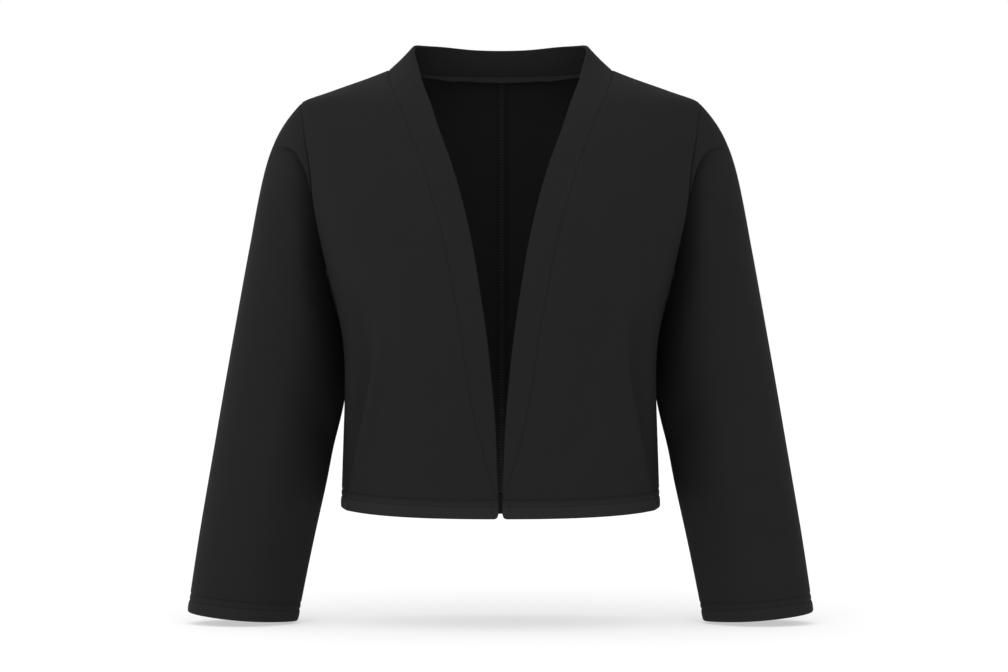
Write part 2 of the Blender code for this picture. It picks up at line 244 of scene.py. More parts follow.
# Rings of the body, from the neck ends of the shoulder seams down to below the hem
BODY = table(
    "height half_width front back square",
    (0.000, 0.1068, 0.026, 0.0570, 2.00),
    (-0.008, 0.1268, 0.037, 0.0630, 2.00),
    (-0.016, 0.1493, 0.047, 0.0690, 2.00),
    (-0.024, 0.1720, 0.055, 0.0745, 2.00),
    (-0.029, 0.1861, 0.059, 0.0775, 2.00),
    (-0.036, 0.1938, 0.065, 0.0812, 2.02),
    (-0.046, 0.1955, 0.072, 0.0860, 2.05),
    (-0.060, 0.1957, 0.081, 0.0910, 2.10),
    (-0.090, 0.1905, 0.096, 0.0990, 2.20),
    (-0.125, 0.1842, 0.109, 0.1040, 2.30),
    (-0.170, 0.1725, 0.119, 0.1040, 2.40),
    (-0.205, 0.1630, 0.1235, 0.1000, 2.45),
    (-0.259, 0.1510, 0.124, 0.0920, 2.50),
    (-0.300, 0.1490, 0.120, 0.0870, 2.50),
    (-0.340, 0.1500, 0.116, 0.0870, 2.50),
    (-0.385, 0.1516, 0.112, 0.0920, 2.50),
    (-0.440, 0.1537, 0.110, 0.0990, 2.50),
)
# The front opening: how far the band's free edge and its seam lie from the middle
OPENING = table(
    "height edge seam",
    (0.000, 0.0840, 0.1068),
    (-0.007, 0.0780, 0.1060),
    (-0.020, 0.0720, 0.1020),
    (-0.032, 0.0670, 0.0969),
    (-0.056, 0.0592, 0.0869),
    (-0.091, 0.0466, 0.0737),
    (-0.1255, 0.0362, 0.0626),
    (-0.170, 0.0259, 0.0513),
    (-0.215, 0.0184, 0.0424),
    (-0.259, 0.0120, 0.0345),
    (-0.303, 0.0074, 0.0286),
    (-0.3366, 0.0046, 0.0222),
    (-0.370, 0.0032, 0.0137),
    (-0.404, 0.0019, 0.0034),
)
# The band's free edge where it leaves the body and stands up round the neck, as far as the centre back
COLLAR_EDGE = table(
    "across depth height",
    (0.0670, -0.0570, -0.0320),
    (0.0718, -0.0450, -0.0195),
    (0.0757, -0.0330, -0.0075),
    (0.0792, -0.0200, 0.0050),
    (0.0827, -0.0080, 0.0160),
    (0.0834, 0.0040, 0.0235),
    (0.0755, 0.0225, 0.0260),
    (0.0560, 0.0400, 0.0260),
    (0.0290, 0.0500, 0.0240),
    (0.0000, 0.0530, 0.0233),
)
# Sections of the sleeve from the armhole to the cuff: outer and inner point, depths, and sway of the middle
SLEEVE = table(
    "outer_x outer_z inner_x inner_z front back sway",
    (0.1898, -0.0320, 0.1635, -0.2030, 0.034, 0.038, 0.002),
    (0.1973, -0.0395, 0.1619, -0.2120, 0.040, 0.043, 0.008),
    (0.2113, -0.0575, 0.1585, -0.2260, 0.044, 0.048, 0.017),
    (0.2229, -0.0810, 0.1545, -0.2430, 0.047, 0.050, 0.024),
    (0.2326, -0.1150, 0.1506, -0.2630, 0.049, 0.051, 0.027),
    (0.2415, -0.1610, 0.1490, -0.2890, 0.050, 0.051, 0.027),
    (0.2537, -0.2304, 0.1509, -0.3175, 0.049, 0.050, 0.024),
    (0.2656, -0.3000, 0.1582, -0.3530, 0.048, 0.048, 0.017),
    (0.2767, -0.3690, 0.1689, -0.4037, 0.046, 0.046, 0.008),
    (0.2896, -0.4500, 0.1812, -0.4615, 0.044, 0.043, -0.002),
    (0.2989, -0.5182, 0.1940, -0.5276, 0.042, 0.041, -0.012),
)
# Soft folds of the body, two on the front and two on the back: each a line from its top to its foot
BODY_FOLDS = table(
    "top foot top_turn foot_turn rise half_turn",
    (-0.235, -0.432, 0.76, 1.24, 0.0068, 0.075),
    (-0.215, -0.425, 0.97, 1.38, -0.0115, 0.125),
    (-0.210, -0.400, 2.20, 1.98, 0.0026, 0.120),
    (-0.200, -0.390, 2.48, 2.32, -0.0022, 0.130),
)
# The crease over the sleeve's head: its angle round the sleeve, by the run from the armhole's seam
CREASE = table(
    "run around",
    (0.0000, 1.65),
    (0.0044, 1.47),
    (0.0070, 1.31),
    (0.0103, 1.16),
    (0.0137, 1.02),
    (0.0212, 0.86),
    (0.0293, 0.72),
    (0.0344, 0.63),
    (0.0397, 0.51),
    (0.0460, 0.30),
    (0.0550, -0.10),
    (0.0800, -1.20),
)
# Soft folds of the sleeve: the middle along and round it, the rise, the half widths and the slant
SLEEVE_FOLDS = table(
    "along around rise half_along half_around slant",
    (0.175, 1.02, -0.0030, 0.045, 0.55, -0.10),
    (0.300, 1.10, 0.0020, 0.070, 0.60, -0.08),
    (0.560, 2.55, -0.0024, 0.050, 0.60, 0.06),
    (0.480, 4.30, -0.0024, 0.060, 0.70, -0.06),
)


def spline(knots, values):
    """Natural cubic spline: each stretch is a cubic whose value and bend match the next one's at the knot."""
    knots = np.asarray(knots, float)
    values = np.asarray(values, float)
    step = np.diff(knots)
    slope = np.diff(values) / step
    system = np.eye(len(knots))
    right = np.zeros(len(knots))
    for i in range(1, len(knots) - 1):
        system[i, i - 1 : i + 2] = step[i - 1], 2 * (step[i - 1] + step[i]), step[i]
        right[i] = 6 * (slope[i] - slope[i - 1])
    bend = np.linalg.solve(system, right)

    def at(place):
        place = np.asarray(place, float)
        i = np.clip(np.searchsorted(knots, place) - 1, 0, len(knots) - 2)
        above, below, h = knots[i + 1] - place, place - knots[i], step[i]
        cubic = (bend[i] * above**3 + bend[i + 1] * below**3) / (6 * h)
        low = (values[i] / h - bend[i] * h / 6) * above
        high = (values[i + 1] / h - bend[i + 1] * h / 6) * below
        return cubic + low + high

    return at


def by_height(rows, column):
    """A column of a table that runs downwards, as a smooth function of the height."""
    return spline(rows["height"][::-1], rows[column][::-1])


half_width = by_height(BODY, "half_width")
front_depth = by_height(BODY, "front")
back_depth = by_height(BODY, "back")
squareness = by_height(BODY, "square")
edge_across = by_height(OPENING, "edge")
seam_across = by_height(OPENING, "seam")


def unit(vectors):
    """Each vector divided by its length."""
    return vectors / np.maximum(np.linalg.norm(vectors, axis=-1, keepdims=True), 1e-12)


def body_point(turn, height):
    """Body ring: x is the half width by sin^p of the turn, y the depth by cos^p, where p is two over the
    squareness."""
    power = 2 / squareness(height)
    depth = np.where(turn < QUARTER_TURN, front_depth(height), back_depth(height))
    x = half_width(height) * np.abs(np.sin(turn)) ** power
    y = -depth * np.sign(np.cos(turn)) * np.abs(np.cos(turn)) ** power
    return np.stack([x, y, height + 0 * turn], axis=-1)


def turn_at_front(across, height):
    """Inverse of the ring's x: the turn whose point lies that far from the middle."""
    share = np.clip(across / half_width(height), 0, 1)
    return np.arcsin(share ** (squareness(height) / 2))


def turn_at_side(depth, height):
    """Inverse of the ring's y: the turn whose point lies that far behind the shoulder line, or before it."""
    reach = np.where(depth < 0, front_depth(height), back_depth(height))
    share = np.clip(np.abs(depth) / reach, 0, 1) ** (squareness(height) / 2)
    return QUARTER_TURN + np.sign(depth) * np.arcsin(share)


def hem_height(turn):
    """The hem dips from the side seam towards the middle by a power of the turn's cosine."""
    dip = np.where(turn < QUARTER_TURN, HEM_FRONT - HEM_SIDE, HEM_BACK - HEM_SIDE)
    return HEM_SIDE + dip * np.abs(np.cos(turn)) ** HEM_DIP_POWER


def body_folds(turn, height):
    """Lift of the soft folds: a bell across each fold's slanting line, times a half sine along it."""
    lift = np.zeros(np.shape(turn))
    for top, foot, top_turn, foot_turn, rise, half_turn in zip(*BODY_FOLDS.values()):
        share = np.clip((height - top) / (foot - top), 0, 1)
        middle = top_turn + (foot_turn - top_turn) * share**FOLD_CURVE
        lift += rise * np.sin(np.pi * share) * np.exp(-(((turn - middle) / half_turn) ** 2))
    return lift


def sleeve_folds(along, around):
    """Lift of the sleeve's folds: a bell along and a bell round it, slanting with the turn."""
    lift = np.zeros(np.shape(along))
    for middle, turn, rise, half_along, half_around, slant in zip(*SLEEVE_FOLDS.values()):
        off = (around - turn + np.pi) % (2 * np.pi) - np.pi
        across = (along - middle - slant * off) / half_along
        lift += rise * np.exp(-(across**2) - (off / half_around) ** 2)
    return lift


def smooth_step(share):
    """0 before 0 and 1 after 1, with a cubic between them."""
    share = np.clip(share, 0, 1)
    return share**2 * (3 - 2 * share)


def beside_body(points):
    """How far points lie outside the body's side line in the front view: the front half of the armhole, and the
    half width below it."""
    seam = body_point(*armhole(np.linspace(np.pi, 0, ARMHOLE_SAMPLES)).T)
    below = np.linspace(HEM_BACK, ARMHOLE_FOOT, SIDE_SAMPLES)[:-1]
    heights = np.concatenate([below, seam[:, 2]])
    across = np.concatenate([half_width(below), seam[:, 0]])
    return points[..., 0] - np.interp(points[..., 2], heights, across)


def valley(points, run, around):
    """Depth of the valley: a steep wall at the seam and at the crease, then a bell of the distance from the
    body's side line, joined with a bell of the distance from the crease that fades towards its tip; it grows
    downwards and ends low down and at the underarm."""
    beside = np.maximum(beside_body(points), 0)
    below_crease = CREASE_RADIUS * (around - np.interp(run, CREASE["run"], CREASE["around"]))
    walls = smooth_step(run / VALLEY_WALL) * smooth_step(below_crease / VALLEY_WALL)
    at_body = bell(beside, VALLEY_REACH)
    at_crease = bell(below_crease, VALLEY_REACH) * bell(beside, CREASE_REACH)
    height = points[..., 2]
    grows = smooth_step((VALLEY_TOP - height) / VALLEY_GROWS)
    ends = grows * smooth_step((height - VALLEY_FOOT) / VALLEY_ENDS)
    underarm = smooth_step((np.pi - around) / UNDERARM_TURN) * (around > 0)
    return VALLEY_DEEP * walls * (at_body + (1 - at_body) * at_crease) * ends * underarm


def crowded(count, start, end, *crowds):
    """Even steps of a measure that runs faster by a bell at each crowd (place, half width, strength)."""
    dense = np.linspace(start, end, CROWD_SAMPLES)
    pace = 1 + sum(strength * bell(dense - place, width) for place, width, strength in crowds)
    measure = np.cumsum(pace) - pace[0]
    return np.interp(np.linspace(0, measure[-1], count + 1), measure, dense)


def length_along(points):
    """Running sum of the steps between neighbouring points."""
    return np.concatenate([[0], np.cumsum(np.linalg.norm(np.diff(points, axis=0), axis=1))])


def evenly(points, carried, shares):
    """What a dense line of points carries, at shares of its length."""
    length = length_along(points)
    return np.stack([np.interp(shares * length[-1], length, column) for column in carried.T], axis=1)


def slow_end(count):
    """Shares from 0 to 1 whose steps shrink towards 1: u plus a sine hump."""
    u = np.linspace(0, 1, count + 1)
    return u + SLOW_END * np.sin(np.pi * u) / np.pi


def slow_ends(count):
    """Shares from 0 to 1 whose steps shrink towards both ends: u minus a full sine wave."""
    u = np.linspace(0, 1, count + 1)
    return u - SLOW_ENDS * np.sin(2 * np.pi * u) / (2 * np.pi)


def steps_up():
    """Heights above a folded edge, close together at the fold, the twin rows and the raw edge inside."""
    fold = FOLD_ZONE * np.linspace(0, 1, FOLD_ROWS) ** FOLD_CROWDING
    plain = np.arange(PLAIN_FROM, HEM_ZONE, PLAIN_STEP)
    rows = np.concatenate([row + GROOVE_WIDTH * np.array(GROOVE_STEPS) for row in HEM_ROWS_UP])
    raw_edge = HEM_DEPTH + np.array(RAW_EDGE_STEPS)
    return np.unique(np.round(np.concatenate([fold, plain, rows, raw_edge, [HEM_ZONE]]), 6))


def armhole(around):
    """(turn, height) round the armhole: height by the cosine, depth by the sine of the angle from its top."""
    middle = (ARMHOLE_TOP + ARMHOLE_FOOT) / 2
    half = (ARMHOLE_TOP - ARMHOLE_FOOT) / 2
    height = middle + half * np.cos(around)
    reach = np.where(np.sin(around) >= 0, ARMHOLE_FRONT, ARMHOLE_BACK)
    return np.stack([turn_at_side(-reach * np.sin(around), height), height], axis=-1)


hem_steps = steps_up()


def side_line(front):
    """(turn, height) up the side seam, then round half of the armhole."""
    low = HEM_SIDE + hem_steps
    rise = np.linspace(HEM_SIDE + HEM_ZONE, ARMHOLE_FOOT, SIDE_ROWS + 1)[1:]
    heights = np.concatenate([low, rise])
    seam = np.stack([np.full(len(heights), QUARTER_TURN), heights], axis=1)
    around = np.pi * (1 - slow_end(ARMHOLE_ROWS)[1:] if front else 1 + slow_end(ARMHOLE_ROWS)[1:])
    return np.concatenate([seam, armhole(around)])


def front_line():
    """(turn, height) up the free front edge, then along the band's seam to the shoulder."""
    low = HEM_FRONT + hem_steps
    free = edge_across(BAND_FOOT)
    foot = np.interp(low, [BAND_FOOT - BAND_FOOT_EASE, BAND_FOOT], [free, seam_across(BAND_FOOT)])
    across = np.where(low < BAND_FOOT, foot, seam_across(low))
    start = np.stack([turn_at_front(across, low), low], axis=1)
    dense = low[-1] * np.linspace(1, 0, LINE_SAMPLES) ** 2
    turns = turn_at_front(seam_across(dense), dense)
    shares = slow_end(SIDE_ROWS + ARMHOLE_ROWS)
    line = evenly(body_point(turns, dense), np.stack([turns, dense], axis=1), shares)
    return np.concatenate([start, line[1:]])


def back_line():
    """(turn, height) up the centre back, then round the neck to the shoulder seam."""
    low = HEM_BACK + hem_steps
    rise = np.linspace(low[-1], -BACK_NECK_DROP, SIDE_ROWS + ARMHOLE_ROWS - NECK_ROWS + 1)[1:]
    heights = np.concatenate([low, rise])
    seam = np.stack([np.full(len(heights), np.pi), heights], axis=1)
    turns = np.pi - QUARTER_TURN * slow_end(NECK_ROWS)[1:]
    neck = np.stack([turns, -BACK_NECK_DROP * np.cos(turns) ** 2], axis=1)
    return np.concatenate([seam, neck])


def normals(points, closed=False):
    """Unit cross product of the grid's two directions at each point."""
    along = np.gradient(points, axis=0)
    across = np.gradient(points, axis=1)
    if closed:
        across = (np.roll(points, -1, axis=1) - np.roll(points, 1, axis=1)) / 2
    return unit(np.cross(across, along))


def distances(points, axis):
    """Distance of each grid point from the first and from the last line of one direction, along the cloth."""
    steps = np.linalg.norm(np.diff(points, axis=axis), axis=-1)
    zero = np.zeros_like(np.take(steps, [0], axis=axis))
    run = np.cumsum(np.concatenate([zero, steps], axis=axis), axis=axis)
    return run, np.take(run, [-1], axis=axis) - run


def bell(distance, width):
    """1 at no distance, falling as a bell of that half width."""
    return np.exp(-((distance / width) ** 2))


def panel_grid(first, last, corner):
    """Points of a panel: turn and height run straight from one line to the other, the hem follows its dip, a
    front corner curves up on a circle, and the folds lift the surface along its normal."""
    across = slow_ends(PANEL_COLUMNS)[None, :, None]
    grid = first[:, None] * (1 - across) + last[:, None] * across
    turn, height = grid[..., 0], grid[..., 1]
    share = np.clip(1 - np.arange(len(height)) / (len(hem_steps) + SIDE_ROWS), 0, 1)[:, None]
    height = height + np.minimum(1, HEM_FOLLOWED * share) * (hem_height(turn[0]) - height[0])
    if corner:
        rows_up = height - height[0]
        edge = body_point(turn[0], height[0])
        inward = np.clip(HEM_CORNER - length_along(edge), 0, HEM_CORNER)
        curve = HEM_CORNER - np.sqrt(HEM_CORNER**2 - inward**2)
        height = height + curve * np.clip(1 - rows_up / CORNER_REACH, 0, 1)
    points = body_point(turn, height)
    return points + body_folds(turn, height)[..., None] * normals(points)


def reach_over(points, axis, edge):
    """Moves an edge a hair across its seam, away from the next line, so no light shows between pieces."""
    lines = np.moveaxis(points, axis, 0)
    inner = {0: 1, -1: -2}[edge]
    lines[edge] += SEAM_OVERLAP * unit(lines[edge] - lines[inner])


def sewn_relief(up, along):
    """Twin rows press two grooves into the cloth, with a small ripple between them and a half-sine puff
    below."""
    grooves = sum(bell(up - row, GROOVE_WIDTH) for row in HEM_ROWS_UP)
    middle = sum(HEM_ROWS_UP) / len(HEM_ROWS_UP)
    ripple = np.sin(2 * np.pi * along / PUCKER_PITCH) * bell(up - middle, PUCKER_WIDTH)
    puff = np.sin(np.pi * np.clip(up / HEM_ROWS_UP[0], 0, 1))
    return HEM_PUFF * puff - GROOVE_DEPTH * grooves + PUCKER * ripple


def painted_light_share(up):
    """Share of painted light: 1 on the hem strip below the twin rows, falling to 0 across them."""
    return 1 - smooth_step((up - HEM_ROWS_UP[0]) / (HEM_ROWS_UP[1] - HEM_ROWS_UP[0]))


def add_piece(name, points, faces, uv, material, painted_light=None):
    """A mesh piece from arrays of points and faces, with a UV pair in metres for each face corner and, on a
    panel, how far each point takes the painted light of the hem strip and of the inside face."""
    mesh = bpy.data.meshes.new(name)
    mesh.from_pydata(points.tolist(), [], faces if isinstance(faces, list) else faces.tolist())
    if uv is not None:
        layer = mesh.uv_layers.new(name="cloth")
        layer.data.foreach_set("uv", np.ascontiguousarray(uv, np.float32).ravel())
    if painted_light is not None:
        mesh.attributes.new("painted_light", "FLOAT", "POINT").data.foreach_set("value", np.float32(painted_light))
    mesh.materials.append(material)
    mesh.shade_smooth()
    piece = bpy.data.objects.new(name, mesh)
    bpy.context.scene.collection.objects.link(piece)
    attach(piece, "root")
    return piece


def quads(index):
    """Corner indices of every square of a grid of indices."""
    corners = [index[:-1, :-1], index[:-1, 1:], index[1:, 1:], index[1:, :-1]]
    return np.stack(corners, axis=-1).reshape(-1, 4)


def wall_faces(middle, relief, thick, edge, closed=False):
    """Outer face: the grid lifted by its relief. Inner face: a thickness below. Near an edge both turn towards
    the wall's middle along a quarter circle of half the thickness."""
    out = normals(middle, closed)
    half = thick / 2
    gap = np.clip(half - edge, 0, WALL_ROUNDED * half)
    rounding = half - np.sqrt(half**2 - gap**2)
    outer = middle + (relief - rounding)[..., None] * out
    inner = middle - (thick - rounding)[..., None] * out
    return outer, inner


def cloth_wall(name, outer, inner, material, mirror=1, closed=False, painted_light=None):
    """A wall of cloth from the grids of its two faces, with rims between them and a UV map of lengths along it.
    The painted-light shares are the outer face's; the inner face is evenly painted a little lighter, as painted
    light."""
    rows, columns = outer.shape[:2]
    index = np.arange(rows * columns).reshape(rows, columns)
    span = np.concatenate([index, index[:, :1]], axis=1) if closed else index
    wrapped = np.concatenate([outer, outer[:, :1]], axis=1) if closed else outer
    flat = np.stack([distances(wrapped, 1)[0], distances(wrapped, 0)[0]], axis=-1)
    flat_span = np.arange(flat.shape[0] * flat.shape[1]).reshape(flat.shape[:2])

    def all_faces(grid, behind):
        sheet = quads(grid)
        rims = [grid[0], grid[-1][::-1]] + ([] if closed else [grid[:, 0][::-1], grid[:, -1]])
        edges = [np.stack([r[:-1], r[:-1] + behind, r[1:] + behind, r[1:]], axis=-1) for r in rims]
        return np.concatenate([sheet, sheet[:, ::-1] + behind, *edges])[:, ::mirror]

    points = np.concatenate([outer.reshape(-1, 3), inner.reshape(-1, 3)]) * (mirror, 1, 1)
    uv = flat.reshape(-1, 2)[all_faces(flat_span, 0).ravel()]
    if painted_light is not None:
        # painted light on the inner face: an even lighter share
        painted_light = np.concatenate([painted_light.ravel(), np.full(painted_light.size, INSIDE_PAINTED_LIGHT_SHARE)])
    return add_piece(name, points, all_faces(span, rows * columns), uv, material, painted_light)


def front_panel():
    """The front's grid and its two faces: seams dip at the band, the side and the shoulder."""
    grid = panel_grid(front_line(), side_line(front=True), corner=True)
    for axis, edge in ((1, -1), (0, -1), (1, 0)):
        reach_over(grid, axis, edge)
    from_edge, from_side = distances(grid, 1)
    up, down = distances(grid, 0)
    on_band = np.clip((grid[..., 2] - BAND_FOOT) / BAND_DIP_STARTS, 0, 1)
    dips = SEAM_DIP * np.maximum(bell(from_side, SEAM_DIP_WIDTH), bell(down, SEAM_DIP_WIDTH))
    dips = np.maximum(dips, BAND_DIP * bell(from_edge, BAND_DIP_WIDTH) * on_band)
    relief = sewn_relief(up, from_edge) - dips
    nearest = np.minimum(np.minimum(from_edge, from_side), np.minimum(up, down))
    return grid, *wall_faces(grid, relief, doubled(up), nearest)


def back_panel():
    """The back's grid and its two faces: seams dip at the side, shoulder, neck and centre back."""
    grid = panel_grid(side_line(front=False), back_line(), corner=False)
    for axis, edge in ((1, 0), (0, -1), (1, -1)):
        reach_over(grid, axis, edge)
    from_side, from_middle = distances(grid, 1)
    up, down = distances(grid, 0)
    dips = bell(from_side, SEAM_DIP_WIDTH) + bell(from_middle, SEAM_DIP_WIDTH) + bell(down, SEAM_DIP_WIDTH)
    relief = sewn_relief(up, from_side) - SEAM_DIP * np.minimum(dips, 1)
    nearest = np.minimum(np.minimum(from_side, from_middle), np.minimum(up, down))
    return grid, *wall_faces(grid, relief, doubled(up), nearest)


def doubled(up):
    """Thickness of a turned edge: two layers up to the raw edge inside, then one."""
    return CLOTH * (1 + np.clip((HEM_DEPTH - up) / RAW_EDGE_SLOPE + 0.5, 0, 1))


def sleeve_section(along, around):
    """Sleeve ring: from its middle, the swing towards the outer line by the cosine and the depth by the sine of
    the turn; the front is pinched towards the body by the square of the swing."""
    length = length_along(np.stack([SLEEVE["outer_x"], SLEEVE["outer_z"]], axis=1))
    at = {name: spline(length / length[-1], column)(along) for name, column in SLEEVE.items()}
    swing = np.cos(around)
    depth = np.where(np.sin(around) >= 0, -at["front"], at["back"]) * np.abs(np.sin(around))
    depth = depth * (1 - SLEEVE_PINCH * np.minimum(swing, 0) ** 2 * (np.sin(around) > 0))
    x = (at["outer_x"] + at["inner_x"]) / 2 + swing * (at["outer_x"] - at["inner_x"]) / 2
    z = (at["outer_z"] + at["inner_z"]) / 2 + swing * (at["outer_z"] - at["inner_z"]) / 2
    return np.stack([x, depth + at["sway"], z], axis=-1)


def sleeve_tube():
    """The sleeve's two faces: sections that start on the armhole's own line and ease off it over the cap; the
    columns crowd at the front and at the underarm seam, the rings at the armhole and the cuff."""
    at_back = (-SEAM_CROWDING[0], *SEAM_CROWDING[1:])
    around = crowded(SLEEVE_COLUMNS, -np.pi, np.pi, FRONT_CROWDING, SEAM_CROWDING, at_back)[:-1]
    outer_line = np.stack([SLEEVE["outer_x"], SLEEVE["outer_z"]], axis=1)
    length = length_along(outer_line)[-1]
    cuff = 1 - hem_steps[::-1] / length
    along = np.concatenate([cuff[0] * (1 - slow_end(SLEEVE_RINGS)[::-1]), cuff[1:]])
    turned, lengthwise = np.meshgrid(around, along)
    sections = sleeve_section(lengthwise, turned)
    opening = armhole(around)
    ease = smooth_step(1 - lengthwise / CAP_SHARE)[..., None]
    grid = sections + ease * (body_point(opening[:, 0], opening[:, 1]) - sections[0])
    sunk = valley(grid, distances(grid, 0)[0], turned)[..., None] * VALLEY_WAY
    grid = grid + sleeve_folds(lengthwise, turned)[..., None] * normals(grid, closed=True) + sunk
    grid[..., 2] -= CUFF_DIP * np.sin(np.clip(turned, 0, np.pi)) * smooth_step(2 * lengthwise - 1)
    reach_over(grid, 0, 0)
    from_armhole, up = distances(grid, 0)
    from_seam, to_seam = distances(np.concatenate([grid, grid[:, :1]], axis=1), 1)
    seam = np.minimum(from_seam, to_seam)[:, :-1]
    underarm = UNDERARM_DIP * bell(seam, SEAM_DIP_WIDTH)
    dips = np.minimum(bell(from_armhole, SEAM_DIP_WIDTH) + underarm, 1)
    relief = sewn_relief(up, from_seam[:, :-1]) - SEAM_DIP * dips
    nearest = np.minimum(from_armhole, up)
    return wall_faces(grid, relief, doubled(up), nearest, closed=True)


def collar_edge(front_shares, neck_shares):
    """Points on the band's free edge, a spline through its knots: shares of the stretch up the front to the
    shoulder, then shares of the stretch from there to the centre back."""
    heights = OPENING["height"][OPENING["height"] <= BAND_LEAVES_BODY][::-1]
    on_body = body_point(turn_at_front(edge_across(heights), heights), heights)
    collar = np.stack([COLLAR_EDGE[c] for c in ("across", "depth", "height")], axis=1)
    knots = np.concatenate([on_body, collar])
    length = length_along(knots)
    curve = [spline(length, knots[:, i]) for i in range(3)]
    shoulder = length[len(on_body) + COLLAR_SHOULDER_ROW]

    def stretch(start, end, shares):
        line = np.stack([c(np.linspace(start, end, COLLAR_SAMPLES)) for c in curve], axis=1)
        return evenly(line, line, shares)

    up_front = stretch(0, shoulder, front_shares)
    return np.concatenate([up_front, stretch(shoulder, length[-1], neck_shares)[1:]])


def both_halves(half):
    """A grid from the left end to the middle, carried on as its mirror image to the right end."""
    return np.concatenate([half, half[-2::-1] * (-1, 1, 1)])


def band_strip(front_grid, back_grid):
    """The folded band: a profile of two crowned faces, a round fold at the free edge and a rounded edge tucked
    under the seam, carried from one hem up the front, round the neck and down to the other."""
    foot = np.searchsorted(front_grid[: len(hem_steps), 0, 2], BAND_FOOT)
    seam_front = front_grid[foot:, 0]
    seam_back = back_grid[-NECK_ROWS - 1 :, -1][::-1]
    front_shares = length_along(seam_front) / length_along(seam_front)[-1]
    edge = collar_edge(front_shares, 1 - slow_end(NECK_ROWS)[::-1])
    seam = np.concatenate([seam_front, seam_back[1:]])
    edge, seam = both_halves(edge), both_halves(seam)
    out = normals(np.stack([edge, seam], axis=1))
    width = np.linalg.norm(edge - seam, axis=1)[:, None]
    run = length_along(edge)
    shoulder = run[len(seam_front) - 1]
    over_shoulder = (bell(run - shoulder, BAND_TURN) + bell(run - run[-1] + shoulder, BAND_TURN))[:, None]
    half = np.minimum(BAND_THICK, BAND_THICK_SHARE * width) / 2 * (1 + BAND_PLUMP * over_shoulder)
    face = slow_ends(BAND_COLUMNS)[None]
    fold = np.linspace(np.pi, 0, FOLD_COLUMNS + 1)[None, 1:-1]
    across = (width - half + BAND_TUCK) * face - BAND_TUCK
    gap = np.clip(half - across - BAND_TUCK, 0, BAND_ROUNDED * half)
    rounding = half - np.sqrt(half**2 - gap**2)
    crown = BAND_CROWN * np.sin(np.pi * face) * np.minimum(1, width / CROWN_FULL_WIDTH)
    hollow = BAND_HOLLOW * over_shoulder * np.sin(np.pi * face)
    outer_depth = crown - rounding - hollow
    inner_depth = rounding - 2 * half - crown - hollow
    over = np.concatenate([across[:, ::-1], across, width - half + half * np.sin(fold)], axis=1)
    depth = np.concatenate([outer_depth[:, ::-1], inner_depth, half * (np.cos(fold) - 1)], axis=1)
    lean = np.clip(over / width, 0, 1)[..., None]
    direction = unit(out[:, None, 1] * (1 - lean) + out[:, None, 0] * lean)
    towards = unit(edge - seam)[:, None]
    return seam[:, None] + towards * over[..., None] + direction * depth[..., None]


def closed_loft(name, rings, material):
    """A loft of closed rings with a flat cap at each end, and a UV map of lengths round and along it."""
    rows, columns = rings.shape[:2]
    index = np.arange(rows * columns).reshape(rows, columns)
    span = np.concatenate([index, index[:, :1]], axis=1)
    wrapped = np.concatenate([rings, rings[:, :1]], axis=1)
    flat = np.stack([distances(wrapped, 1)[0], distances(wrapped, 0)[0]], axis=-1)
    flat_span = np.arange(rows * (columns + 1)).reshape(rows, columns + 1)
    caps = [index[0][::-1].tolist(), index[-1].tolist()]
    cap_uv = [flat[0, :-1][::-1], flat[-1, :-1]]
    uv = np.concatenate([flat.reshape(-1, 2)[quads(flat_span).ravel()], *cap_uv])
    return add_piece(name, rings.reshape(-1, 3), quads(span).tolist() + caps, uv, material)


def stitches(name, paths, material, size=STITCH_SIZE, pitch=STITCH_PITCH, ladder=False):
    """Short threads at even steps of each path: rings whose radius follows the root of one minus the fourth
    power, bowed by the square, laid along the path or across it as a ladder. A path is its points and their
    normals; a size is length, width and height."""
    long, wide, tall = size
    stations = np.linspace(-1, 1, STITCH_STATIONS)
    swell = np.sqrt(1 - STITCH_TAPER * stations**4)
    turns = np.linspace(0, 2 * np.pi, STITCH_SIDES + 1)[:-1]
    shape = np.stack(
        [
            long / 2 * stations[:, None] + 0 * turns,
            wide / 2 * swell[:, None] * np.cos(turns),
            tall / 2 * (swell[:, None] * np.sin(turns) - STITCH_BOW * stations[:, None] ** 2),
        ],
        axis=-1,
    )
    single = np.arange(STITCH_STATIONS * STITCH_SIDES).reshape(STITCH_STATIONS, STITCH_SIDES)
    ring_faces = quads(np.concatenate([single, single[:, :1]], axis=1))
    points, faces = [], []
    for line, out in paths:
        length = length_along(line)
        count = int(length[-1] / pitch)
        places = (np.arange(count) + 0.5) * length[-1] / count
        at = np.stack([np.interp(places, length, c) for c in line.T], axis=1)
        ahead = np.stack([np.interp(places + STITCH_AHEAD, length, c) for c in line.T], axis=1)
        up = unit(np.stack([np.interp(places, length, c) for c in out.T], axis=1))
        long_way = unit(ahead - at + 1e-9)
        side = unit(np.cross(up, long_way))
        frame_axes = np.stack([side, -long_way, up] if ladder else [long_way, side, up], axis=1)
        points.append((at[:, None, None] + np.einsum("rsk,nkc->nrsc", shape, frame_axes)).reshape(-1, 3))
        first = sum(len(p) for p in points[:-1])
        offsets = first + np.arange(count)[:, None, None] * single.size
        faces += (ring_faces[None] + offsets).reshape(-1, 4).tolist()
        ends = np.stack([single[0][::-1], single[-1]])
        faces += (ends[None] + offsets).reshape(-1, STITCH_SIDES).tolist()
    return add_piece(name, np.concatenate(points), faces, None, material)


